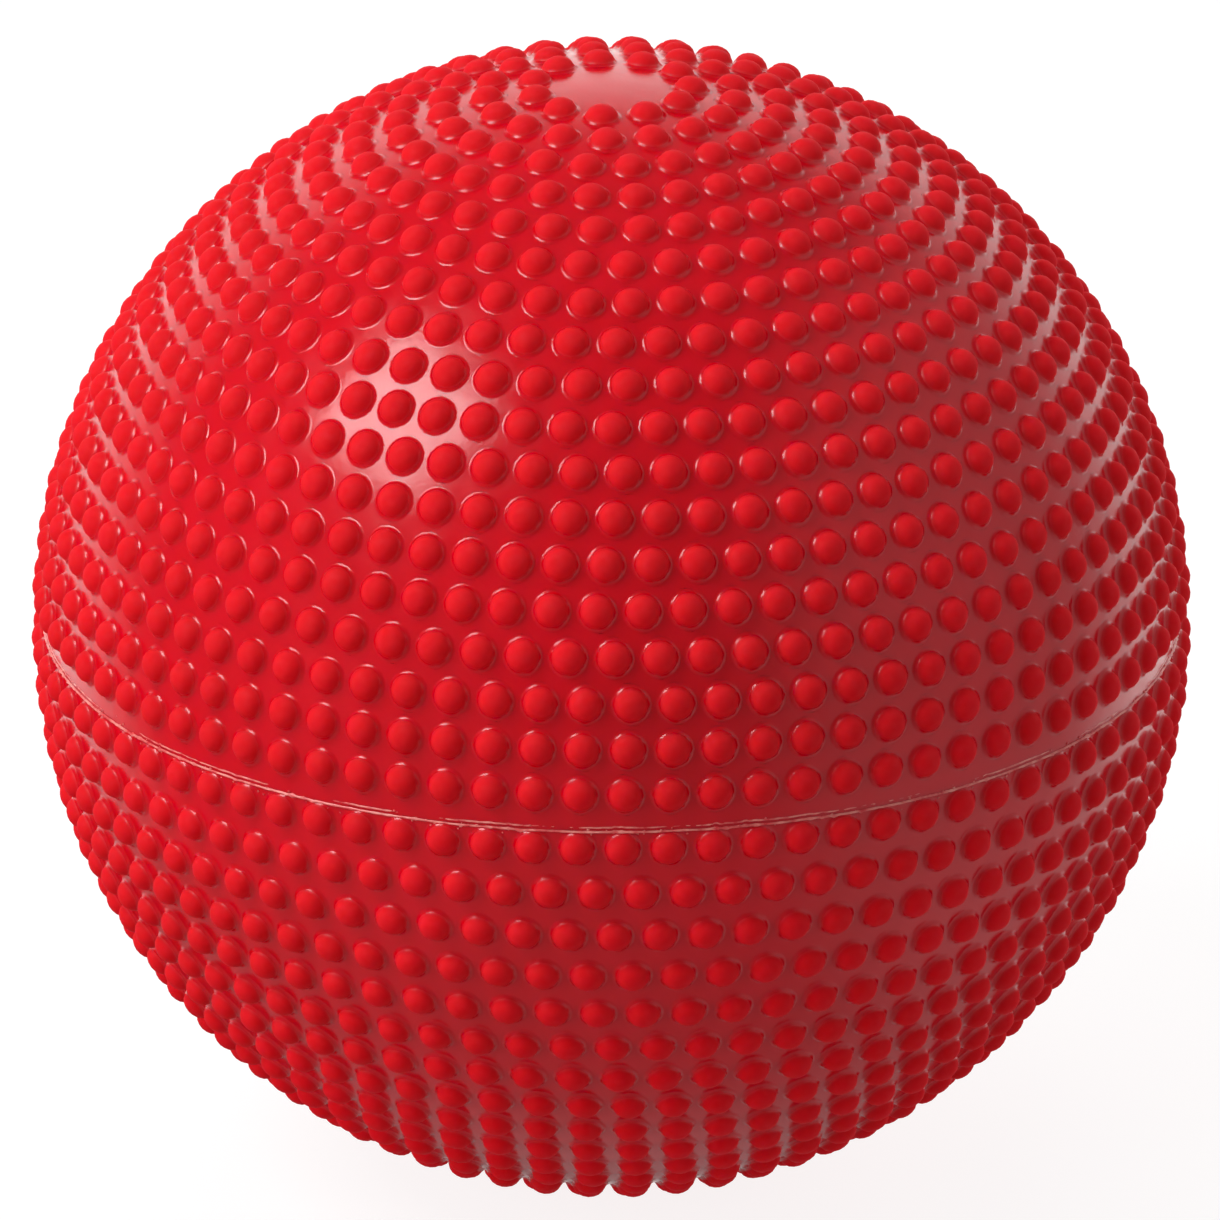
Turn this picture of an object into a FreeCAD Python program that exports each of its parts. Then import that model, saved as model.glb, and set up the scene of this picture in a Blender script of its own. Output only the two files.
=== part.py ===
import FreeCAD, Part
import math
import os

import Sketcher
from FreeCAD import Placement, Rotation, Vector

# Nubbed playground ball: two moulded rubber half shells, the bonded seam and the needle valve.
#
# Units are millimetres, +Z is up. The origin is on the surface that the ball stands on, under its
# centre. The smooth top disc faces +Z, the valve sits in the smooth bottom disc and faces -Z.
# Meridians are counted from the front of the ball (-Y) towards +X.

# Driving dimensions: alias, value, what it is.
DIMENSIONS = [
    ("skin_radius", 78.1, "outside of the smooth skin between the nubs"),
    ("wall_thickness", 3.0, "rubber wall under the nubs"),
    ("bond_thickness", 0.2, "cement layer between the two half shells"),
    ("bead_height", 0.3, "how far the squeezed-out cement stands above the skin"),
    ("bead_width", 0.5, "width of that raised line along the ball's axis"),
    ("nub_root_radius", 2.95, "radius at the foot of a nub, just inside the skin"),
    ("nub_root_depth", 0.1, "how deep a nub's foot starts below the skin"),
    ("nub_flare_radius", 2.4, "radius where the sloping foot turns up into the steep side"),
    ("nub_flare_rise", 0.4, "height of that edge above the foot"),
    ("nub_side_radius", 2.05, "radius where the steep side ends"),
    ("nub_side_rise", 1.1, "height of that edge above the foot"),
    ("nub_shoulder_radius", 1.4, "radius where the rounded top begins"),
    ("nub_shoulder_rise", 1.7, "height of that edge above the foot"),
    ("nub_rise", 2.0, "height of the tip above the foot"),
    ("equator_nubs", 80.0, "nubs that a ring on the equator would hold"),
    ("upper_rings", 18.0, "rings of nubs on the upper half"),
    ("upper_disc_angle", 8.0, "angle from the top to the first ring, degrees"),
    ("upper_ring_pitch", 4.6, "angle between rings of the upper half, degrees"),
    ("upper_start_meridian", 156.6, "meridian of the first nub, upper half, degrees"),
    ("lower_rings", 17.0, "rings of nubs on the lower half"),
    ("lower_disc_angle", 9.4, "angle from the bottom to the first ring, degrees"),
    ("lower_ring_pitch", 4.93, "angle between rings of the lower half, degrees"),
    ("lower_start_meridian", 32.6, "meridian of the first nub, lower half, degrees"),
    ("valve_hole_radius", 4.5, "hole in the lower shell for the valve"),
    ("face_depth", 0.4, "outer face of the valve housing below the skin"),
    ("flange_radius", 12.0, "flange bonded to the inside of the wall"),
    ("flange_thickness", 1.6, "thickness of that flange"),
    ("boss_base_radius", 6.2, "housing boss at the flange"),
    ("boss_end_radius", 5.2, "housing boss at its inner end"),
    ("boss_end_depth", 14.0, "inner end of the boss below the skin"),
    ("core_face_depth", 0.6, "outer face of the valve core below the skin"),
    ("head_radius", 3.1, "head of the valve core"),
    ("head_end_depth", 1.6, "underside of the head below the skin"),
    ("neck_radius", 2.2, "neck of the valve core"),
    ("neck_end_depth", 3.2, "inner end of the neck below the skin"),
    ("bulb_radius", 3.2, "bulb that locks the core in the housing"),
    ("bulb_end_depth", 9.8, "inner end of the bulb below the skin"),
    ("tail_radius", 1.6, "slit tail that closes behind the needle"),
    ("tail_end_depth", 12.6, "inner end of the tail below the skin"),
    ("channel_mouth_radius", 1.7, "mouth of the needle channel's funnel"),
    ("funnel_end_depth", 1.4, "inner end of the funnel below the skin"),
    ("channel_radius", 0.95, "needle channel"),
    ("channel_end_depth", 9.0, "blind end of the needle channel below the skin"),
]
SIZE = {alias: value for alias, value, _ in DIMENSIONS}
SHEET = "dims"
FREE = "free"
FULL_TURN = 360.0
QUARTER_TURN = 90.0

# Height of the ball's centre over the surface: the lowest nubs are those of the ring round the
# valve, and each is lowest on its round top.
CROWN_RISE = "(dims.nub_rise - dims.nub_shoulder_rise)"
CROWN_RADIUS = f"((dims.nub_shoulder_radius ^ 2 + {CROWN_RISE} ^ 2) / (2 * {CROWN_RISE}))"
TIP_RADIUS = "(dims.skin_radius - dims.nub_root_depth + dims.nub_rise)"
LOWER_CENTRE = f"(({TIP_RADIUS} - {CROWN_RADIUS}) * cos(dims.lower_disc_angle * 1 deg) + {CROWN_RADIUS})"
UPPER_CENTRE = f"({LOWER_CENTRE} + dims.bond_thickness)"
POLE = f"({LOWER_CENTRE} - dims.skin_radius)"


def add_sheet(doc):
    """The spreadsheet that holds the driving dimensions."""
    sheet = doc.addObject("Spreadsheet::Sheet", SHEET)
    for row, (alias, value, meaning) in enumerate(DIMENSIONS, start=1):
        sheet.set(f"A{row}", meaning)
        sheet.set(f"B{row}", str(value))
        sheet.setAlias(f"B{row}", alias)
    doc.recompute()
    return sheet


def add(doc, kind, name, **formulas):
    """A Part primitive whose properties follow the sheet; z sets its height."""
    thing = doc.addObject(kind, name)
    height = formulas.pop("z", None)
    for prop, formula in formulas.items():
        thing.setExpression(prop, formula)
    if height:
        thing.setExpression("Placement.Base.z", height)
    return thing


def boolean(doc, kind, name, base, tool):
    """A Part::Cut or Part::Fuse of two objects."""
    result = doc.addObject(kind, name)
    result.Base = base
    result.Tool = tool
    return result


def cylinder(doc, name, radius, height, z):
    """A cylinder on the ball's axis."""
    return add(doc, "Part::Cylinder", name, Radius=radius, Height=height, z=z)


# ---- profiles that are turned about the ball's axis ----

def start_body(doc, name):
    """A PartDesign body with an empty sketch on its XZ plane."""
    body = doc.addObject("PartDesign::Body", name)
    sketch = body.newObject("Sketcher::SketchObject", name + "_profile")
    plane = next(f for f in body.Origin.OriginFeatures if f.Role == "XZ_Plane")
    sketch.AttachmentSupport = [(plane, "")]
    sketch.MapMode = "FlatFace"
    return body, sketch


def value_of(alias):
    """The starting value of a coordinate; 0 on an axis, and 0 where another side sets it."""
    return SIZE.get(alias, 0.0)


def pin_point(sketch, geometry, end, across, along):
    """Ties one end of a line to its radius and its place along the axis."""
    for kind, alias, axis in (("DistanceX", across, -2), ("DistanceY", along, -1)):
        if alias is None:
            sketch.addConstraint(Sketcher.Constraint("PointOnObject", geometry, end, axis))
        elif alias in SIZE:
            distance = Sketcher.Constraint(kind, -1, 1, geometry, end, SIZE[alias])
            tie(sketch, distance, f"{SHEET}.{alias}")


def add_line(sketch, start, finish):
    """A straight side of a profile between two (radius, place) corners."""
    first = Vector(value_of(start[0]), value_of(start[1]), 0)
    last = Vector(value_of(finish[0]), value_of(finish[1]), 0)
    return sketch.addGeometry(Part.LineSegment(first, last), False)


def join(sketch, geometry, end, other, other_end):
    """Makes two ends meet."""
    sketch.addConstraint(Sketcher.Constraint("Coincident", geometry, end, other, other_end))


def add_arc(sketch, centre, radius, span):
    """An arc about a point on the axis."""
    circle = Part.Circle(Vector(0, centre, 0), Vector(0, 0, 1), radius)
    arc = sketch.addGeometry(Part.ArcOfCircle(circle, span[0], span[1]), False)
    sketch.addConstraint(Sketcher.Constraint("PointOnObject", arc, 3, -2))
    return arc


def tie(sketch, constraint, formula):
    """Adds a constraint whose value follows the sheet."""
    index = sketch.addConstraint(constraint)
    sketch.setExpression(f"Constraints[{index}]", formula)


def turn(body, sketch):
    """Revolves the body's sketch about its vertical axis."""
    revolution = body.newObject("PartDesign::Revolution", body.Name + "_turn")
    revolution.Profile = sketch
    revolution.ReferenceAxis = (sketch, ["V_Axis"])
    revolution.Angle = FULL_TURN
    body.Tip = revolution


def chain(sketch, corners, closed):
    """Straight sides through the corners, each corner tied to the sheet."""
    count = len(corners) if closed else len(corners) - 1
    sides = [add_line(sketch, corners[i], corners[(i + 1) % len(corners)]) for i in range(count)]
    for i in range(1, len(sides)):
        join(sketch, sides[i - 1], 2, sides[i], 1)
    if closed:
        join(sketch, sides[-1], 2, sides[0], 1)
    for side, corner in zip(sides, corners):
        pin_point(sketch, side, 1, *corner)
    if not closed:
        pin_point(sketch, sides[-1], 2, *corners[-1])
    return sides


# ---- nubs ----

def nub_seed(doc):
    """One nub standing on its foot: a sloping foot, a steep side, a shoulder and a round top."""
    body, sketch = start_body(doc, "nub_seed")
    corners = [
        (None, "nub_rise"),
        (None, None),
        ("nub_root_radius", None),
        ("nub_flare_radius", "nub_flare_rise"),
        ("nub_side_radius", "nub_side_rise"),
        ("nub_shoulder_radius", "nub_shoulder_rise"),
    ]
    sides = chain(sketch, corners, closed=False)
    rise = SIZE["nub_rise"] - SIZE["nub_shoulder_rise"]
    radius = (SIZE["nub_shoulder_radius"] ** 2 + rise ** 2) / (2 * rise)
    shoulder = math.acos(SIZE["nub_shoulder_radius"] / radius)
    crown = add_arc(sketch, SIZE["nub_rise"] - radius, radius, (shoulder, math.pi / 2))
    join(sketch, crown, 1, sides[-1], 2)
    join(sketch, crown, 2, sides[0], 1)
    turn(body, sketch)
    return body


def ring_angles(disc_angle, pitch, count):
    """Angle from the pole to each ring, the ring round the smooth disc first."""
    return [disc_angle + pitch * ring for ring in range(count)]


def nub_places(angles, start_meridian, equator_nubs):
    """Angle from the pole and meridian of every nub, in degrees.

    A ring holds as many nubs as fit its length at the equator's spacing, and every other ring is
    turned by half a space, counted from the first angle in the list.
    """
    for ring, angle in enumerate(angles):
        count = round(equator_nubs * math.sin(math.radians(angle)))
        space = FULL_TURN / count
        stagger = space / 2 if ring % 2 else 0.0
        for step in range(count):
            yield angle, start_meridian + stagger + step * space


def outward(angle, meridian, pole):
    """Unit vector at an angle from the pole (+1 top, -1 bottom) on a meridian."""
    across = math.sin(math.radians(angle))
    turned = math.radians(meridian)
    along = math.cos(math.radians(angle))
    return Vector(across * math.sin(turned), -across * math.cos(turned), pole * along)


def nub_compound(doc, name, seed, sheet, places, pole, centre):
    """All nubs of one half shell, each with its foot below the skin."""
    foot_radius = sheet.skin_radius - sheet.nub_root_depth
    nubs = []
    for angle, meridian in places:
        direction = outward(angle, meridian, pole)
        nub = seed.Shape.copy()
        nub.Placement = Placement(direction * foot_radius, Rotation(Vector(0, 0, 1), direction))
        nubs.append(nub)
    thing = doc.addObject("Part::Feature", name)
    thing.Shape = Part.makeCompound(nubs)
    thing.Placement = Placement(Vector(0, 0, 0), Rotation())
    thing.setExpression("Placement.Base.z", centre)
    return thing


# ---- the sub-parts ----

def half_skin(doc, name, low, high, centre):
    """Half of the hollow skin between two latitudes, without nubs."""
    outside = add(doc, "Part::Sphere", name + "_outside", Radius="dims.skin_radius", z=centre)
    outside.Angle1 = low
    outside.Angle2 = high
    inside = add(
        doc,
        "Part::Sphere",
        name + "_inside",
        Radius="dims.skin_radius - dims.wall_thickness",
        z=centre,
    )
    return boolean(doc, "Part::Cut", name + "_skin", outside, inside)


def upper_half_shell(doc, sheet, seed):
    """Moulded upper half with its nubs and the smooth top disc."""
    skin = half_skin(doc, "upper", 0.0, QUARTER_TURN, UPPER_CENTRE)
    angles = ring_angles(sheet.upper_disc_angle, sheet.upper_ring_pitch, int(sheet.upper_rings))
    places = nub_places(angles, sheet.upper_start_meridian, sheet.equator_nubs)
    nubs = nub_compound(doc, "upper_nubs", seed, sheet, places, 1, UPPER_CENTRE)
    return boolean(doc, "Part::Fuse", "upper_half_shell", skin, nubs)


def lower_half_shell(doc, sheet, seed):
    """Moulded lower half with its nubs and the valve's hole in the smooth bottom disc.

    The feet of the ring nearest the seam are trimmed level with the rim.
    """
    skin = half_skin(doc, "lower", -QUARTER_TURN, 0.0, LOWER_CENTRE)
    hole = cylinder(
        doc, "valve_hole", "dims.valve_hole_radius", "3 * dims.wall_thickness",
        f"{POLE} - dims.wall_thickness",
    )
    bored = boolean(doc, "Part::Cut", "lower_bored", skin, hole)
    angles = ring_angles(sheet.lower_disc_angle, sheet.lower_ring_pitch, int(sheet.lower_rings))
    angles.reverse()
    places = nub_places(angles, sheet.lower_start_meridian, sheet.equator_nubs)
    nubs = nub_compound(doc, "lower_nubs", seed, sheet, places, -1, LOWER_CENTRE)
    over_rim = cylinder(
        doc, "over_rim", "2 * dims.skin_radius", "2 * dims.nub_root_radius", LOWER_CENTRE
    )
    trimmed = boolean(doc, "Part::Cut", "lower_nubs_trimmed", nubs, over_rim)
    return boolean(doc, "Part::Fuse", "lower_half_shell", bored, trimmed)


def seam_bead(doc):
    """The cement between the two rims, with the thin line squeezed out along the equator."""
    inner = "dims.skin_radius - dims.wall_thickness"
    outer = "dims.skin_radius + dims.bead_height"
    layer_disc = cylinder(doc, "layer_disc", "dims.skin_radius", "dims.bond_thickness", LOWER_CENTRE)
    layer_hole = cylinder(doc, "layer_hole", inner, "dims.bond_thickness", LOWER_CENTRE)
    layer = boolean(doc, "Part::Cut", "bond_layer", layer_disc, layer_hole)
    line_disc = cylinder(doc, "line_disc", outer, "dims.bead_width", LOWER_CENTRE)
    line_hole = cylinder(doc, "line_hole", "dims.skin_radius", "dims.bead_width", LOWER_CENTRE)
    line = boolean(doc, "Part::Cut", "raised_line", line_disc, line_hole)
    return boolean(doc, "Part::Fuse", "seam_bead", layer, line)


def flange_arc(sketch, radius, inner_alias, extra_formula):
    """One face of the flange, concentric with the ball, from a radius out to the flange's rim."""
    centre = SIZE["skin_radius"]
    span = [math.asin(SIZE[alias] / radius) - math.pi / 2 for alias in (inner_alias, "flange_radius")]
    arc = add_arc(sketch, centre, radius, span)
    radius_formula = "dims.skin_radius - dims.wall_thickness" + extra_formula
    tie(sketch, Sketcher.Constraint("Radius", arc, radius), radius_formula)
    height = Sketcher.Constraint("DistanceY", -1, 1, arc, 3, centre)
    tie(sketch, height, "dims.skin_radius")
    return arc


def valve_housing(doc):
    """Rubber housing: a neck in the shell's hole, a flange on the inside wall and a boss."""
    body, sketch = start_body(doc, "valve_housing")
    sides = chain(
        sketch,
        [
            ("boss_base_radius", FREE),
            ("boss_end_radius", "boss_end_depth"),
            ("tail_radius", "boss_end_depth"),
            ("tail_radius", "bulb_end_depth"),
            ("bulb_radius", "bulb_end_depth"),
            ("bulb_radius", "neck_end_depth"),
            ("neck_radius", "neck_end_depth"),
            ("neck_radius", "head_end_depth"),
            ("head_radius", "head_end_depth"),
            ("head_radius", "face_depth"),
            ("valve_hole_radius", "face_depth"),
            ("valve_hole_radius", FREE),
        ],
        closed=False,
    )
    ball_centre = SIZE["skin_radius"]
    wall = ball_centre - SIZE["wall_thickness"]
    inside = wall - SIZE["flange_thickness"]
    wall_arc = flange_arc(sketch, wall, "valve_hole_radius", "")
    inside_arc = flange_arc(sketch, inside, "boss_base_radius", " - dims.flange_thickness")
    rim_radius = SIZE["flange_radius"]
    rim_ends = [
        Vector(rim_radius, ball_centre - math.sqrt(radius ** 2 - rim_radius ** 2), 0)
        for radius in (wall, inside)
    ]
    rim = sketch.addGeometry(Part.LineSegment(*rim_ends), False)
    join(sketch, sides[-1], 2, wall_arc, 1)
    join(sketch, wall_arc, 2, rim, 1)
    join(sketch, rim, 2, inside_arc, 2)
    join(sketch, inside_arc, 1, sides[0], 1)
    for end in (1, 2):
        pin_point(sketch, rim, end, "flange_radius", FREE)
    turn(body, sketch)
    body.setExpression("Placement.Base.z", POLE)
    return body


def valve_core(doc):
    """Self-sealing rubber core: head, neck, locking bulb and slit tail round a needle channel."""
    body, sketch = start_body(doc, "valve_core")
    corners = [
        (None, "channel_end_depth"),
        ("channel_radius", "channel_end_depth"),
        ("channel_radius", "funnel_end_depth"),
        ("channel_mouth_radius", "core_face_depth"),
        ("head_radius", "core_face_depth"),
        ("head_radius", "head_end_depth"),
        ("neck_radius", "head_end_depth"),
        ("neck_radius", "neck_end_depth"),
        ("bulb_radius", "neck_end_depth"),
        ("bulb_radius", "bulb_end_depth"),
        ("tail_radius", "bulb_end_depth"),
        ("tail_radius", "tail_end_depth"),
        (None, "tail_end_depth"),
    ]
    chain(sketch, corners, closed=True)
    turn(body, sketch)
    body.setExpression("Placement.Base.z", POLE)
    return body


def check(doc, subparts):
    """Stops on any failed object or bad shape."""
    for thing in doc.Objects:
        if "Invalid" in thing.State or "Error" in thing.State:
            raise RuntimeError(f"{thing.Name} failed: {thing.State}")
    for thing in subparts:
        shape = thing.Shape
        if shape.isNull() or not shape.isValid() or not shape.Solids:
            raise RuntimeError(f"{thing.Label} has no valid solid")
        box = shape.BoundBox
        print(
            f"{thing.Label}: {len(shape.Solids)} solid, {len(shape.Faces)} faces, "
            f"{shape.Volume / 1000:.2f} cm3, z {box.ZMin:.3f} to {box.ZMax:.3f}"
        )


def main():
    doc = FreeCAD.newDocument("playground_ball")
    sheet = add_sheet(doc)
    seed = nub_seed(doc)
    doc.recompute()
    subparts = [
        upper_half_shell(doc, sheet, seed),
        lower_half_shell(doc, sheet, seed),
        seam_bead(doc),
        valve_housing(doc),
        valve_core(doc),
    ]
    doc.recompute()
    check(doc, subparts)
    os.makedirs("parts", exist_ok=True)
    for thing in subparts:
        thing.Shape.exportStep(f"parts/{thing.Label}.step")


main()
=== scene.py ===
"""Looks of the nubbed playground ball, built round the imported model.

Each half shell is replaced by a closed mesh with one cell per nub, and the seam by a ragged
raised line with crumbs. Lengths in the mesh code are millimetres about a half's own centre, pole
up; make_object() turns them into metres in the frame.
"""

import math

import bpy
import numpy as np
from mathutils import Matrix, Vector


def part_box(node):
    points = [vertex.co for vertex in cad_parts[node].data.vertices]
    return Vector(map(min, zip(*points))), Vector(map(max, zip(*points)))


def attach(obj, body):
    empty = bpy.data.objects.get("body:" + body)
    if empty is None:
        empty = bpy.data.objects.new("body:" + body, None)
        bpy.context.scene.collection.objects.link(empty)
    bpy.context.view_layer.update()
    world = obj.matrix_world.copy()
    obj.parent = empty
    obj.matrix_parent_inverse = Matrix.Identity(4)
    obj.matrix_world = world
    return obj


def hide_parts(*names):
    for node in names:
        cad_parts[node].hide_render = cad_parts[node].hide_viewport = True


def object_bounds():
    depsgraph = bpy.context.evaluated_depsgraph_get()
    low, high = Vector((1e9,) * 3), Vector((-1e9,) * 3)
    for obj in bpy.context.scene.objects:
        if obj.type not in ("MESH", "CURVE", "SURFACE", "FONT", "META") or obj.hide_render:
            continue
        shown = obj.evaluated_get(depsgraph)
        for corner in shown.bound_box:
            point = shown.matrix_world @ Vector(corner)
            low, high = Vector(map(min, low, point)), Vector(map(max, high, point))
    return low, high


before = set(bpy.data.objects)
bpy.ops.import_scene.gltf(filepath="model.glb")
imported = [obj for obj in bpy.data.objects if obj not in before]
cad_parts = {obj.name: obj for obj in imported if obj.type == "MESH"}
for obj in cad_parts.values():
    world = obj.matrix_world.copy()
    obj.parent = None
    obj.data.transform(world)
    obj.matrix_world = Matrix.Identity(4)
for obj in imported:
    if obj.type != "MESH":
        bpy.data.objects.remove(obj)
cad_box = [list(corner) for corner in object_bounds()]

MM = 0.001
TAU = 2 * math.pi

# ---- sizes of the ball, in millimetres and degrees, as in the design ----
BEAD_HEIGHT = 0.3
BOND = 0.2
WALL = 3.0
EQUATOR_NUBS = 80
NUB_HEIGHT = 1.9
VALVE_HOLE = 4.5
seam_low, seam_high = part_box("seam_bead")
SKIN = seam_high[0] / MM - BEAD_HEIGHT
INSIDE = SKIN - WALL
LOWER_CENTRE = seam_low[2] / MM
UPPER_CENTRE = LOWER_CENTRE + BOND
BALL_CENTRE = Vector((0, 0, (LOWER_CENTRE + UPPER_CENTRE) / 2 * MM))

# disc is the angle from the pole to the first ring, pitch the angle between rings, start the
# meridian of a first nub. The lower half counts its rings from the seam and has the valve's hole.
UPPER = {"rings": 18, "disc": 8.0, "pitch": 4.6, "start": 156.6, "is_lower": False}
LOWER = {"rings": 17, "disc": 9.4, "pitch": 4.93, "start": 32.6, "is_lower": True}

# ---- one nub: (radius, height over the skin, outward share of the normal) ----
AROUND = 16
FOOT_RADIUS = 2.95
NUB_PROFILE = [
    (2.50, 0.13, 0.58),
    (2.22, 0.52, 0.85),
    (1.91, 1.08, 0.80),
    (1.40, 1.53, 0.55),
]
NUB_TOP = (0.76, 1.79, 0.25)
TOP_AROUND = 8
# how much nubs differ: shares of the height and width, and the tip's shift in millimetres
HEIGHT_SPREAD = 0.03
WIDTH_SPREAD = 0.012
LEAN = 0.05
# lowest places over the rim for the foot and the profile rows of a nub at the seam
RIM_GAPS = [0.02, 0.04, 0.06, 0.06, 0.06]

# ---- the cell of a nub: directions round it, by number, counted from its right side ----
OWN_EDGE = range(3, 14)
EDGE_PLACE = {k: place for place, k in enumerate(OWN_EDGE)}
# the right side belongs to the next cell, as its left side
RIGHT_TO_LEFT = {2: 6, 1: 7, 0: 8, 15: 9, 14: 10}
TOP_EDGE = [6, 5, 4, 3]
BOTTOM_EDGE = [10, 11, 12, 13]
# half the width of the strip of triangles between two rings of cells
ZIP_WIDTH = 0.25

# ---- the rest of a half shell; a disc's rows are (share of its radius, sides) ----
HOLE_SIDES = 48
HOLE_ROUNDING = 0.15
DISC_ROWS = [(0.2, 12), (0.45, 24), (0.72, 36)]
RIM_SIDES = 360
INSIDE_SIDES = 96
INSIDE_STEPS = 14

# ---- the seam: SINK is how far the line's foot lies under the skin, ROOT where it leaves the rims ----
SEAM_SIDES = 1440
SEAM_LUMPS = 90
SEAM_SINK = 0.03
SEAM_ROOT = 0.25
CRUMBS = 420


def direction(angle, meridian):
    """Unit vectors at angles from the pole (+Z) on meridians from the front (-Y), in radians."""
    across = np.sin(angle)
    return np.stack(
        [across * np.sin(meridian), -across * np.cos(meridian), np.cos(angle) + 0 * meridian], -1
    )


class Shell:
    """Collects vertices, their normals and faces of one closed surface, from the pole outwards.

    A row is a loop of vertices round the axis with rising meridians. Faces turn outwards when
    each new row is further along the way from the outside of the pole, over the rim and back up
    the inside.
    """

    def __init__(self):
        self.points = []
        self.normals = []
        self.faces = []
        self.count = 0

    def add(self, points, normals):
        """Adds vertices and returns the index of the first."""
        first = self.count
        self.points.append(points)
        self.normals.append(normals)
        self.count += len(points)
        return first

    def row(self, radius, height, count, normal=None):
        """A round row; radius from the axis, height along it. normal is (outward, up)."""
        meridian = np.arange(count) * TAU / count
        out = np.stack([np.sin(meridian), -np.cos(meridian), 0 * meridian], -1)
        up = np.array([0, 0, 1.0])
        points = out * radius + up * height
        if normal is None:
            normals = points / np.linalg.norm(points[0])
        else:
            normals = out * normal[0] + up * normal[1]
        first = self.add(points, normals)
        return meridian, first + np.arange(count)

    def quads(self, upper, lower):
        """Joins two rows of equal count and meridians."""
        a, b = upper[1], lower[1]
        self.faces += np.stack([b, np.roll(b, -1), np.roll(a, -1), a], -1).tolist()

    def zip_rows(self, upper, lower):
        """Joins two rows of any counts with triangles."""
        top_at, top = upper
        low_at, low = lower
        shift = np.argmin(np.abs((top_at - low_at[0] + math.pi) % TAU - math.pi))
        top, top_at = np.roll(top, -shift), np.roll(top_at, -shift)
        start = low_at[0] + (top_at[0] - low_at[0] + math.pi) % TAU - math.pi
        top_at = start + np.append((top_at - top_at[0]) % TAU, TAU)
        low_at = low_at[0] + np.append((low_at - low_at[0]) % TAU, TAU)
        top, low = np.append(top, top[0]), np.append(low, low[0])
        i = j = 0
        while i < len(top) - 1 or j < len(low) - 1:
            next_low = low_at[j + 1] if j < len(low) - 1 else math.inf
            next_top = top_at[i + 1] if i < len(top) - 1 else math.inf
            if next_low <= next_top:
                self.faces.append([int(low[j]), int(low[j + 1]), int(top[i])])
                j += 1
            else:
                self.faces.append([int(top[i + 1]), int(top[i]), int(low[j])])
                i += 1


# ---- rings of nubs ----

def rings_of(half):
    """(angle from the pole, number of nubs, meridian of the first) of each ring, pole first."""
    rings = []
    for ring in range(half["rings"]):
        angle = half["disc"] + half["pitch"] * ring
        count = round(EQUATOR_NUBS * math.sin(math.radians(angle)))
        steps = half["rings"] - 1 - ring if half["is_lower"] else ring
        stagger = 0.5 * (steps % 2) * TAU / count
        rings.append((math.radians(angle), count, math.radians(half["start"]) + stagger))
    return rings


def square_side():
    """Where the directions round a nub meet the edge of its cell, from -1 to 1 each way."""
    turn = np.arange(AROUND) * TAU / AROUND
    across, up = np.cos(turn), np.sin(turn)
    reach = np.maximum(np.abs(across), np.abs(up))
    return across / reach, up / reach


def cell_edge(angle, meridian, space, up_half, down_half):
    """Directions of the points that each cell of a ring holds on its edge."""
    across, up = square_side()
    rows = []
    for k in OWN_EDGE:
        reach = up_half if up[k] > 0 else down_half
        angles = np.full(len(meridian), angle - up[k] * reach)
        rows.append(direction(angles, meridian + across[k] * space / 2))
    return np.stack(rows, 1)


def nub_rows(out, east, north, rng, at_rim):
    """Points and normals of a ring's nubs, row by row from the foot to the tip."""
    count = len(out)
    turn = np.arange(AROUND) * TAU / AROUND
    round_about = (
        east[:, None, :] * np.cos(turn)[None, :, None] + north[:, None, :] * np.sin(turn)[None, :, None]
    )
    tall = 1 + HEIGHT_SPREAD * rng.uniform(-1, 1, count)[:, None, None]
    wide = 1 + WIDTH_SPREAD * rng.uniform(-1, 1, count)[:, None, None]
    lean = rng.uniform(-LEAN, LEAN, (count, 2))
    lean = (east * lean[:, :1] + north * lean[:, 1:])[:, None, :]
    up = out[:, None, :]

    foot = up * math.sqrt(SKIN ** 2 - FOOT_RADIUS ** 2) + round_about * FOOT_RADIUS
    points = [foot]
    normals = [foot / SKIN]
    for radius, height, spread in NUB_PROFILE:
        share = height / NUB_HEIGHT
        row = up * (SKIN + height * (1 + (tall - 1) * share))
        points.append(row + round_about * radius * (1 + (wide - 1) * share) + lean * share)
        normals.append(up * math.sqrt(1 - spread ** 2) + round_about * spread)
    if at_rim:
        for gap, row in zip(RIM_GAPS, points):
            row[..., 2] = np.maximum(row[..., 2], gap)

    half_about = round_about[:, :: AROUND // TOP_AROUND]
    radius, height, spread = NUB_TOP
    share = height / NUB_HEIGHT
    row = up * (SKIN + height * (1 + (tall - 1) * share))
    points.append(row + half_about * radius + lean * share)
    normals.append(up * math.sqrt(1 - spread ** 2) + half_about * spread)
    points.append(up * (SKIN + NUB_HEIGHT * tall) + lean)
    normals.append(up)
    return points, normals


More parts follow.
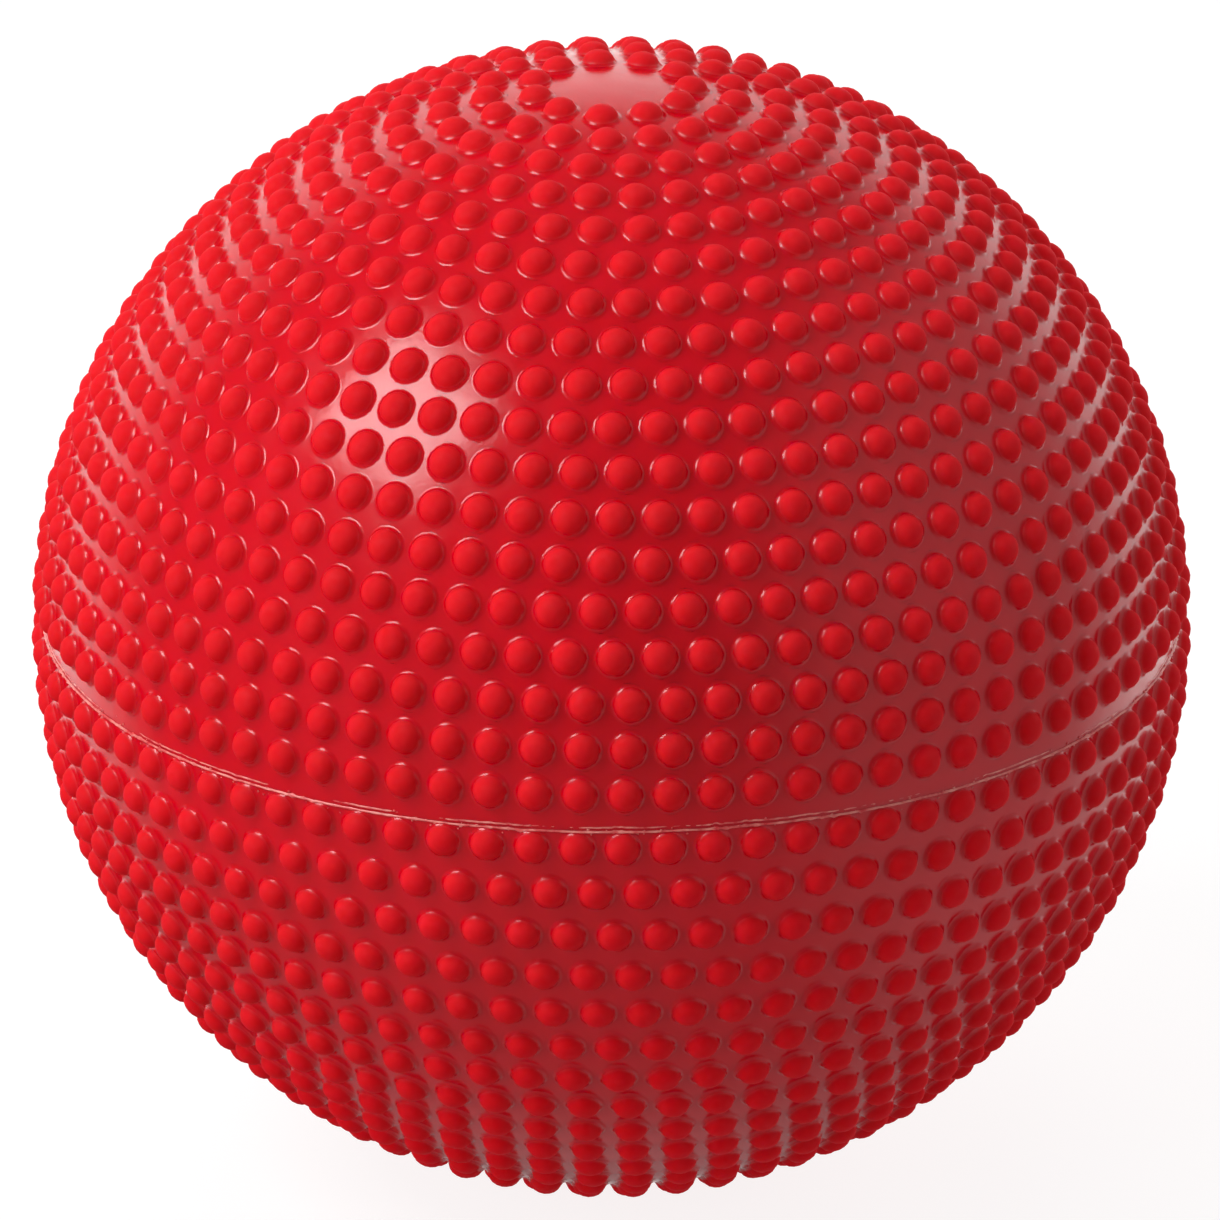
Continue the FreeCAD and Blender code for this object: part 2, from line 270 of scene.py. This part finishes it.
def cell_faces(start):
    """Faces of a ring's cells from the numbers of their first vertices."""
    following = np.roll(start, -1)
    edge = []
    for k in range(AROUND):
        if k in RIGHT_TO_LEFT:
            edge.append(following + EDGE_PLACE[RIGHT_TO_LEFT[k]])
        else:
            edge.append(start + EDGE_PLACE[k])
    loops = [np.stack(edge, 1)]
    at = len(OWN_EDGE)
    for _ in range(len(NUB_PROFILE) + 1):
        loops.append(start[:, None] + at + np.arange(AROUND)[None, :])
        at += AROUND
    faces = []
    for outer, inner in zip(loops, loops[1:]):
        quads = [outer, np.roll(outer, -1, 1), np.roll(inner, -1, 1), inner]
        faces += np.stack(quads, -1).reshape(-1, 4).tolist()

    # the crown has half as many points, and meets at the tip
    crown = start[:, None] + at + np.arange(TOP_AROUND)[None, :]
    next_crown = np.roll(crown, -1, 1)
    tip = np.repeat(start[:, None] + at + TOP_AROUND, TOP_AROUND, 1)
    outer = loops[-1]
    even, odd, last = outer[:, ::2], outer[:, 1::2], np.roll(outer, -1, 1)[:, 1::2]
    for corners in (
        [even, odd, crown],
        [odd, next_crown, crown],
        [odd, last, next_crown],
        [crown, next_crown, tip],
    ):
        faces += np.stack(corners, -1).reshape(-1, 3).tolist()
    return faces


def add_ring(shell, angle, count, first, up_half, down_half, rng, at_rim):
    """Adds a band of nub cells round the ball and returns its top and bottom rows.

    up_half and down_half are how far the band reaches towards the pole and the seam, in radians.
    at_rim keeps the feet of nubs that stand at the very rim inside the half.
    """
    space = TAU / count
    meridian = first + np.arange(count) * space
    out = direction(np.full(count, angle), meridian)
    east = np.stack([np.cos(meridian), np.sin(meridian), 0 * meridian], -1)
    north = np.cross(out, east)
    edge = cell_edge(angle, meridian, space, up_half, down_half)
    points, normals = nub_rows(out, east, north, rng, at_rim)
    cell = np.concatenate([edge * SKIN] + points, 1)
    cell_normals = np.concatenate([edge] + normals, 1)
    base = shell.add(cell.reshape(-1, 3), cell_normals.reshape(-1, 3))
    start = base + np.arange(count) * cell.shape[1]
    shell.faces += cell_faces(start)
    across = square_side()[0]

    def row_of(keys):
        """The top or bottom row, in order of rising meridian."""
        at_meridian = meridian[:, None] + across[keys][None, :] * space / 2
        index = np.stack([start + EDGE_PLACE[k] for k in keys], 1)
        return at_meridian.reshape(-1), index.reshape(-1)

    return row_of(TOP_EDGE), row_of(BOTTOM_EDGE)


def shell_mesh(half, seed):
    """The closed surface of one half shell: pole disc, rings, rim and inside wall."""
    rng = np.random.default_rng(seed)
    shell = Shell()
    rings = rings_of(half)
    reach = math.radians(half["pitch"]) / 2
    gap = ZIP_WIDTH / SKIN
    disc_edge = rings[0][0] - reach + gap

    # the smooth disc at the pole, round the valve's hole or closed by a tip
    if half["is_lower"]:
        height = math.sqrt(INSIDE ** 2 - VALVE_HOLE ** 2)
        hole_top = shell.row(VALVE_HOLE, height, HOLE_SIDES, (-1, 0))
        height = math.sqrt(SKIN ** 2 - VALVE_HOLE ** 2) - HOLE_ROUNDING
        hole = shell.row(VALVE_HOLE, height, HOLE_SIDES, (-1, 0))
        shell.quads(hole_top, hole)
        rounded = VALVE_HOLE + HOLE_ROUNDING
        last = shell.row(rounded, math.sqrt(SKIN ** 2 - rounded ** 2), HOLE_SIDES)
        shell.quads(hole, last)
        disc_rows = [(0.5 * (disc_edge + math.asin(rounded / SKIN)), HOLE_SIDES)]
    else:
        tip = shell.add(np.array([[0, 0, SKIN]]), np.array([[0, 0, 1.0]]))
        last = None
        disc_rows = [(disc_edge * share, count) for share, count in DISC_ROWS]
    for angle, count in disc_rows:
        row = shell.row(SKIN * math.sin(angle), SKIN * math.cos(angle), count)
        if last is None:
            shell.faces += [[int(p), int(q), tip] for p, q in zip(row[1], np.roll(row[1], -1))]
        else:
            shell.zip_rows(last, row)
        last = row

    for angle, count, first in rings:
        down = min(reach - gap, math.pi / 2 - angle)
        at_rim = down < reach - gap
        top, bottom = add_ring(shell, angle, count, first, reach - gap, down, rng, at_rim)
        shell.zip_rows(last, top)
        last = bottom
    if not at_rim:
        rim = shell.row(SKIN, 0, RIM_SIDES)
        shell.zip_rows(last, rim)
        last = rim

    # back up the inside wall to the pole or the valve's hole
    stop = math.asin(VALVE_HOLE / INSIDE) if half["is_lower"] else 0.0
    inner = shell.row(INSIDE, 0, INSIDE_SIDES, (-1, 0))
    shell.zip_rows(last, inner)
    for step in range(1, INSIDE_STEPS):
        angle = math.pi / 2 + (stop - math.pi / 2) * step / INSIDE_STEPS
        across, up = math.sin(angle), math.cos(angle)
        row = shell.row(INSIDE * across, INSIDE * up, INSIDE_SIDES, (-across, -up))
        shell.quads(inner, row)
        inner = row
    if half["is_lower"]:
        shell.zip_rows(inner, hole_top)
    else:
        tip = shell.add(np.array([[0, 0, INSIDE]]), np.array([[0, 0, -1.0]]))
        shell.faces += [[tip, int(q), int(p)] for p, q in zip(inner[1], np.roll(inner[1], -1))]
    return shell


def make_object(name, shell, centre, pole):
    """A mesh object in metres from a surface in millimetres; pole is 1 or -1."""
    points = np.concatenate(shell.points)
    normals = np.concatenate(shell.normals)
    points = points * (1, 1, pole)
    normals = normals * (1, 1, pole)
    points[:, 2] += centre
    faces = shell.faces if pole > 0 else [face[::-1] for face in shell.faces]
    mesh = bpy.data.meshes.new(name)
    mesh.from_pydata((points * MM).tolist(), [], faces)
    mesh.polygons.foreach_set("use_smooth", [True] * len(mesh.polygons))
    lengths = np.linalg.norm(normals, axis=1, keepdims=True)
    mesh.normals_split_custom_set_from_vertices((normals / lengths).tolist())
    mesh.update()
    thing = bpy.data.objects.new(name, mesh)
    bpy.context.collection.objects.link(thing)
    return thing


# ---- the seam ----

def smooth_noise(rng, count, waves):
    """A wavy closed line from -1 to 1 with the given numbers of waves round the ball."""
    turn = np.arange(count) * TAU / count
    line = sum(rng.normal() * np.sin(wave * turn + rng.uniform(0, TAU)) for wave in waves)
    return line / np.abs(line).max()


def seam_mesh(seed):
    """The cement layer with its squeezed-out line, a fainter line beside it, and crumbs."""
    rng = np.random.default_rng(seed)
    turn = np.arange(SEAM_SIDES) * TAU / SEAM_SIDES
    ragged = smooth_noise(rng, SEAM_SIDES, rng.integers(40, 420, 60))
    slow = smooth_noise(rng, SEAM_SIDES, rng.integers(2, 14, 12))
    height = 0.24 + 0.09 * slow + 0.12 * ragged
    width = 0.15 + 0.05 * smooth_noise(rng, SEAM_SIDES, rng.integers(10, 300, 50))
    wander = 0.07 * smooth_noise(rng, SEAM_SIDES, rng.integers(3, 60, 30))
    for place in rng.uniform(0, TAU, SEAM_LUMPS):
        away = (turn - place + math.pi) % TAU - math.pi
        lump = np.exp(-(away / rng.uniform(0.002, 0.006)) ** 2)
        height = height + lump * rng.uniform(0.05, 0.2)
        width = width + lump * rng.uniform(0.02, 0.2)
        wander = wander + lump * rng.uniform(-0.15, 0.08)
    height = np.clip(height, 0.08, 0.55)
    second = 0.02 + 0.16 * smooth_noise(rng, SEAM_SIDES, rng.integers(3, 30, 20))
    second = np.clip(second + 0.05 * ragged, -SEAM_SINK, 0.2)
    middle = BOND / 2 + wander
    flat = 0 * turn
    # (radius, height along the axis, normal) from the inside wall, over the top of the line, back
    profile = [
        (INSIDE + flat, BOND + flat, (0, 1)),
        (SKIN - SEAM_ROOT + flat, BOND + flat, (0, 1)),
        (SKIN - 0.04 + flat, middle + width + 0.62, (0.6, 0.8)),
        (SKIN + second, middle + width + 0.48, (0.98, 0.2)),
        (SKIN - SEAM_SINK + flat, middle + width + 0.30, (0.8, -0.6)),
        (SKIN - SEAM_SINK + flat, middle + width, (0.6, 0.8)),
        (SKIN + 0.55 * height, middle + 0.72 * width, (0.75, 0.66)),
        (SKIN + height, middle + 0.15 * width, (0.98, 0.2)),
        (SKIN + 0.9 * height, middle - 0.35 * width, (0.93, -0.36)),
        (SKIN + 0.35 * height, middle - 0.9 * width, (0.7, -0.7)),
        (SKIN - SEAM_SINK + flat, middle - width, (0.6, -0.8)),
        (SKIN - SEAM_ROOT + flat, flat, (0, -1)),
        (INSIDE + flat, flat, (0, -1)),
    ]
    out = np.stack([np.sin(turn), -np.cos(turn), flat], -1)
    up = np.array([0, 0, 1.0])
    shell = Shell()
    rows = []
    for radius, along, normal in profile:
        points = out * radius[:, None] + up * along[:, None]
        first = shell.add(points, out * normal[0] + up * normal[1])
        rows.append((turn, first + np.arange(SEAM_SIDES)))
    for upper, lower in zip(rows, rows[1:] + rows[:1]):
        shell.quads(upper, lower)
    for _ in range(CRUMBS):
        add_crumb(shell, rng)
    return shell


def add_crumb(shell, rng):
    """A small lump of cement stuck to the skin near the seam."""
    sides = 6
    around = rng.uniform(0, TAU)
    beside = BOND / 2 + rng.normal() * 0.45 - 0.15
    size = rng.uniform(0.07, 0.2)
    out = direction(math.pi / 2 - beside / SKIN, np.array(around))
    east = np.array([math.cos(around), math.sin(around), 0.0])
    north = np.cross(out, east)
    centre = out * (SKIN + 0.25 * size)
    corners = [out, -out]
    for side in range(sides):
        angle = side * TAU / sides
        corners.append(east * math.cos(angle) * rng.uniform(0.8, 1.6) + north * math.sin(angle))
    reach = size * rng.uniform(0.75, 1.25, (len(corners), 1))
    corners = np.array(corners)
    first = shell.add(centre + corners * reach, corners)
    for side in range(sides):
        here, there = first + 2 + side, first + 2 + (side + 1) % sides
        shell.faces += [[first, here, there], [first + 1, there, here]]


# ---- materials ----

def new_material(name):
    """A material with nodes, its Principled node and a helper that adds nodes to it."""
    material = bpy.data.materials.new(name)
    material.use_nodes = True
    tree = material.node_tree
    return material, tree, tree.nodes["Principled BSDF"]


def noise(tree, scale, detail, roughness=0.5):
    """Noise in the ball's own coordinates; scale is in repeats per metre."""
    node = tree.nodes.new("ShaderNodeTexNoise")
    node.inputs["Scale"].default_value = scale
    node.inputs["Detail"].default_value = detail
    node.inputs["Roughness"].default_value = roughness
    coords = tree.nodes.new("ShaderNodeTexCoord")
    tree.links.new(coords.outputs["Object"], node.inputs["Vector"])
    return node


def ramp(tree, source, stops):
    """A colour ramp driven by a value; stops are (place, colour)."""
    node = tree.nodes.new("ShaderNodeValToRGB")
    elements = node.color_ramp.elements
    for element, (place, colour) in zip(elements, stops):
        element.position = place
        element.color = (*colour, 1)
    tree.links.new(source, node.inputs["Fac"])
    return node


def spread(tree, source, low, high):
    """Maps a noise value, which is mostly from 0.3 to 0.7, onto a range."""
    node = tree.nodes.new("ShaderNodeMapRange")
    node.inputs["From Min"].default_value = 0.3
    node.inputs["From Max"].default_value = 0.7
    node.inputs["To Min"].default_value = low
    node.inputs["To Max"].default_value = high
    tree.links.new(source, node.inputs["Value"])
    return node.outputs["Result"]


def bump(tree, source, distance, strength, under=None):
    """A bump of a height in metres, over another bump if one is given."""
    node = tree.nodes.new("ShaderNodeBump")
    node.inputs["Distance"].default_value = distance
    node.inputs["Strength"].default_value = strength
    tree.links.new(source, node.inputs["Height"])
    if under:
        tree.links.new(under, node.inputs["Normal"])
    return node.outputs["Normal"]


def height_share(tree, low, high):
    """0 to 1 between two heights over the skin, given in millimetres."""
    coords = tree.nodes.new("ShaderNodeTexCoord")
    offset = tree.nodes.new("ShaderNodeVectorMath")
    offset.operation = "SUBTRACT"
    offset.inputs[1].default_value = BALL_CENTRE
    tree.links.new(coords.outputs["Object"], offset.inputs[0])
    length = tree.nodes.new("ShaderNodeVectorMath")
    length.operation = "LENGTH"
    tree.links.new(offset.outputs["Vector"], length.inputs[0])
    share = tree.nodes.new("ShaderNodeMapRange")
    share.interpolation_type = "SMOOTHSTEP"
    share.inputs["From Min"].default_value = (SKIN + low) * MM
    share.inputs["From Max"].default_value = (SKIN + high) * MM
    tree.links.new(length.outputs["Value"], share.inputs["Value"])
    return share.outputs["Result"]


def mix_values(tree, share, low, high):
    """Blends two values, sockets or numbers, by a share."""
    node = tree.nodes.new("ShaderNodeMix")
    for name, value in (("A", low), ("B", high)):
        if isinstance(value, float):
            node.inputs[name].default_value = value
        else:
            tree.links.new(value, node.inputs[name])
    tree.links.new(share, node.inputs["Factor"])
    return node.outputs["Result"]


def mix_colours(tree, share, low, high):
    """Blends two colour sockets by a share."""
    node = tree.nodes.new("ShaderNodeMixRGB")
    tree.links.new(share, node.inputs["Fac"])
    tree.links.new(low, node.inputs["Color1"])
    tree.links.new(high, node.inputs["Color2"])
    return node.outputs["Color"]


def shell_rubber():
    """Saturated red rubber: glossy between the nubs, matt on their tops, with painted shade: darker red
    between the nubs and brighter red on the tops.
    """
    material, tree, shader = new_material("shell_rubber_red")
    blotch = noise(tree, 45, 4).outputs["Fac"]
    # painted shade: the base colour is darker red low between the nubs and brighter red on their tops,
    # blended by height over the skin
    painted_shade_red = ramp(tree, blotch, [(0.35, (0.63, 0.0, 0.009)), (0.65, (0.68, 0.0, 0.011))])
    bright = ramp(tree, blotch, [(0.35, (0.67, 0.0, 0.006)), (0.65, (0.72, 0.0, 0.008))])
    top = height_share(tree, 0.15, 1.2)
    colour = mix_colours(tree, top, painted_shade_red.outputs["Color"], bright.outputs["Color"])
    tree.links.new(colour, shader.inputs["Base Color"])
    haze = spread(tree, noise(tree, 260, 5).outputs["Fac"], 0.15, 0.24)
    scuffed = spread(tree, noise(tree, 800, 5).outputs["Fac"], 0.95, 0.78)
    worn = height_share(tree, 0.35, 0.85)
    tree.links.new(mix_values(tree, worn, haze, scuffed), shader.inputs["Roughness"])
    flow = bump(tree, noise(tree, 350, 2).outputs["Fac"], 0.0001, 0.35)
    grain = bump(tree, noise(tree, 1800, 3).outputs["Fac"], 0.00003, 0.6, flow)
    tree.links.new(grain, shader.inputs["Normal"])
    shader.inputs["IOR"].default_value = 1.45
    shader.inputs["Subsurface Weight"].default_value = 0.7
    shader.inputs["Subsurface Radius"].default_value = (1.0, 0.05, 0.05)
    shader.inputs["Subsurface Scale"].default_value = 0.002
    return material


def seam_cement():
    """The squeezed-out cement: the same rubber, duller, in a paler pink that is partly its own colour
    and partly painted highlight of the light on the raised line.
    """
    material, tree, shader = new_material("seam_cement_pink")
    blotch = noise(tree, 700, 4)
    # paler pink: partly the cement's own colour, partly painted highlight where the raised line catches
    # the light
    stops = [(0.35, (0.70, 0.04, 0.05)), (0.65, (0.90, 0.30, 0.26))]
    colour = ramp(tree, blotch.outputs["Fac"], stops)
    tree.links.new(colour.outputs["Color"], shader.inputs["Base Color"])
    tree.links.new(spread(tree, blotch.outputs["Fac"], 0.25, 0.45), shader.inputs["Roughness"])
    rough = bump(tree, noise(tree, 3000, 4).outputs["Fac"], 0.00005, 0.6)
    tree.links.new(rough, shader.inputs["Normal"])
    return material


def plain_rubber(name, dark, light, shine):
    """Moulded rubber of the valve, with a fine grain."""
    material, tree, shader = new_material(name)
    blotch = noise(tree, 500, 4)
    colour = ramp(tree, blotch.outputs["Fac"], [(0.3, dark), (0.7, light)])
    tree.links.new(colour.outputs["Color"], shader.inputs["Base Color"])
    tree.links.new(spread(tree, blotch.outputs["Fac"], shine, shine + 0.15), shader.inputs["Roughness"])
    grain = bump(tree, noise(tree, 4000, 4).outputs["Fac"], 0.00004, 0.5)
    tree.links.new(grain, shader.inputs["Normal"])
    return material


def stage_material():
    """Matt pale floor that glows a little, so that shadows on it stay faint."""
    material, tree, shader = new_material("pale_floor")
    shader.inputs["Base Color"].default_value = (0.2, 0.2, 0.2, 1)
    shader.inputs["Roughness"].default_value = 0.9
    shader.inputs["Specular IOR Level"].default_value = 0.1
    shader.inputs["Emission Color"].default_value = (1, 1, 1, 1)
    shader.inputs["Emission Strength"].default_value = 0.86
    return material


# ---- the pieces ----

red = shell_rubber()
upper = make_object("upper_shell_nubbed", shell_mesh(UPPER, 11), UPPER_CENTRE, 1)
lower = make_object("lower_shell_nubbed", shell_mesh(LOWER, 12), LOWER_CENTRE, -1)
seam = make_object("seam_line", seam_mesh(13), LOWER_CENTRE, 1)
for piece, node, slot, material in (
    (upper, "upper_half_shell", "shell_rubber", red),
    (lower, "lower_half_shell", "shell_rubber", red),
    (seam, "seam_bead", "seam_cement", seam_cement()),
):
    piece.data.materials.append(material)
    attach(piece, "root")
    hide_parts(node)

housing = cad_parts["valve_housing"]
housing.data.materials.clear()
housing.data.materials.append(plain_rubber("housing_rubber_red", (0.5, 0, 0.008), (0.6, 0, 0.01), 0.3))
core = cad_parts["valve_core"]
core.data.materials.clear()
core.data.materials.append(
    plain_rubber("core_rubber_black", (0.012, 0.012, 0.013), (0.03, 0.03, 0.032), 0.35)
)

# ---- stage, light and camera ----

ELEVATION = math.radians(21.8)
CAMERA_DISTANCE = 40 * SKIN * MM
SENSOR_WIDTH = 36.0
LENS = 668.5
CAMERA_RAISED = 0.0009
CAMERA_LEFT = 0.0002
FLOOR_RADIUS = 60.0
BACKDROP_RADIUS = 59.0
BACKDROP_HEIGHT = 30.0
STAGE_SIDES = 64
WORLD_BASE = 0.165
RIGHT = Vector((1, 0, 0))
TO_CAMERA = Vector((0, -math.cos(ELEVATION), math.sin(ELEVATION)))
SCREEN_UP = Vector((0, math.sin(ELEVATION), math.cos(ELEVATION)))


def stage_object(name, points, faces, shadow):
    """A pale piece of the stage that isn't mirrored in the ball."""
    mesh = bpy.data.meshes.new(name)
    mesh.from_pydata(points, [], faces)
    mesh.materials.append(stage_material())
    thing = bpy.data.objects.new(name, mesh)
    bpy.context.collection.objects.link(thing)
    thing.visible_glossy = False
    thing.visible_diffuse = False
    thing.visible_shadow = shadow


def stage_circle(radius, height):
    """Points on a circle about the ball's axis, at a height over the floor."""
    turn = [TAU * k / STAGE_SIDES for k in range(STAGE_SIDES)]
    low = cad_box[0][2]
    return [(radius * math.cos(a), radius * math.sin(a), low + height) for a in turn]


def floor():
    """A large round floor that the ball stands on."""
    faces = [list(range(STAGE_SIDES))]
    stage_object("floor", stage_circle(FLOOR_RADIUS, 0), faces, True)


def backdrop():
    """A tall ring just inside the floor's edge, seen only by a camera that reaches that far."""
    points = stage_circle(BACKDROP_RADIUS, 0) + stage_circle(BACKDROP_RADIUS, BACKDROP_HEIGHT)
    faces = []
    for here in range(STAGE_SIDES):
        there = (here + 1) % STAGE_SIDES
        faces.append([there, here, here + STAGE_SIDES, there + STAGE_SIDES])
    stage_object("backdrop", points, faces, False)


def softbox(name, towards, distance, width, height, strength, glossy=True, diffuse=True):
    """A soft light in a direction from the ball, given as right, screen up and to camera."""
    light = bpy.data.lights.new(name, "AREA")
    light.shape = "RECTANGLE"
    light.size = width
    light.size_y = height
    light.energy = strength * width * height * math.pi
    thing = bpy.data.objects.new(name, light)
    bpy.context.collection.objects.link(thing)
    aim = (RIGHT * towards[0] + SCREEN_UP * towards[1] + TO_CAMERA * towards[2]).normalized()
    thing.location = BALL_CENTRE + aim * distance
    thing.rotation_euler = aim.to_track_quat("Z", "Y").to_euler()
    thing.visible_camera = False
    thing.visible_glossy = glossy
    thing.visible_diffuse = diffuse


def world_light():
    """Pale surroundings: bright behind the ball, half bright at its right, dim elsewhere."""
    world = bpy.data.worlds.new("studio")
    bpy.context.scene.world = world
    world.use_nodes = True
    tree = world.node_tree
    background = tree.nodes["Background"]
    coords = tree.nodes.new("ShaderNodeTexCoord")

    def glow(aim, low, high, strength, base=0.0):
        """Strength towards a direction; low and high are cosines of the angle from it."""
        dot = tree.nodes.new("ShaderNodeVectorMath")
        dot.operation = "DOT_PRODUCT"
        dot.inputs[1].default_value = aim
        tree.links.new(coords.outputs["Generated"], dot.inputs[0])
        node = tree.nodes.new("ShaderNodeMapRange")
        node.interpolation_type = "SMOOTHSTEP"
        for name, value in (
            ("From Min", low), ("From Max", high), ("To Min", base), ("To Max", base + strength)
        ):
            node.inputs[name].default_value = value
        tree.links.new(dot.outputs["Value"], node.inputs["Value"])
        return node.outputs["Result"]

    behind = glow(-TO_CAMERA, 0.30, 0.80, 1.25)
    not_below = glow(Vector((0, 0, 1)), -0.62, -0.33, 0.9, 0.1)
    product = tree.nodes.new("ShaderNodeMath")
    product.operation = "MULTIPLY"
    tree.links.new(behind, product.inputs[0])
    tree.links.new(not_below, product.inputs[1])
    total = product.outputs["Value"]
    for more in (glow(RIGHT, 0.35, 0.85, 0.52, WORLD_BASE), glow(-SCREEN_UP, 0.2, 0.9, 0.2)):
        add = tree.nodes.new("ShaderNodeMath")
        add.operation = "ADD"
        tree.links.new(total, add.inputs[0])
        tree.links.new(more, add.inputs[1])
        total = add.outputs["Value"]
    tree.links.new(total, background.inputs["Strength"])
    background.inputs["Color"].default_value = (1, 0.985, 0.97, 1)


floor()
backdrop()
world_light()
# the key light makes the window-like highlight; a second light behind it only adds gloss
key_aim = (-0.613, 0.600, 0.513)
softbox("key", key_aim, 1.0, 0.50, 0.40, 7.5)
softbox("key_gloss", key_aim, 1.01, 0.50, 0.40, 3.5, diffuse=False)
for name, towards, strength in (
    ("left", (-1.0, 0.1, 0.25), 1.42),
    ("left_front", (-0.7, -0.1, 0.7), 1.60),
    ("left_low", (-0.75, -0.55, 0.35), 0.65),
    ("above", (0.0, 1.0, 0.0), 1.35),
    ("upper_left", (-0.4, 0.5, 0.75), 0.30),
):
    softbox(name, towards, 1.5, 1.2, 1.2, strength, glossy=False)

camera_data = bpy.data.cameras.new("camera")
camera_data.sensor_width = SENSOR_WIDTH
camera_data.lens = LENS
camera_data.clip_start = 0.01
camera_data.clip_end = 200
camera = bpy.data.objects.new("camera", camera_data)
bpy.context.collection.objects.link(camera)
camera.location = (
    BALL_CENTRE + TO_CAMERA * CAMERA_DISTANCE + SCREEN_UP * CAMERA_RAISED - RIGHT * CAMERA_LEFT
)
camera.rotation_mode = "QUATERNION"
camera.rotation_quaternion = (-TO_CAMERA).to_track_quat("-Z", "Y")
bpy.context.scene.camera = camera
bpy.context.scene.view_settings.view_transform = "Standard"
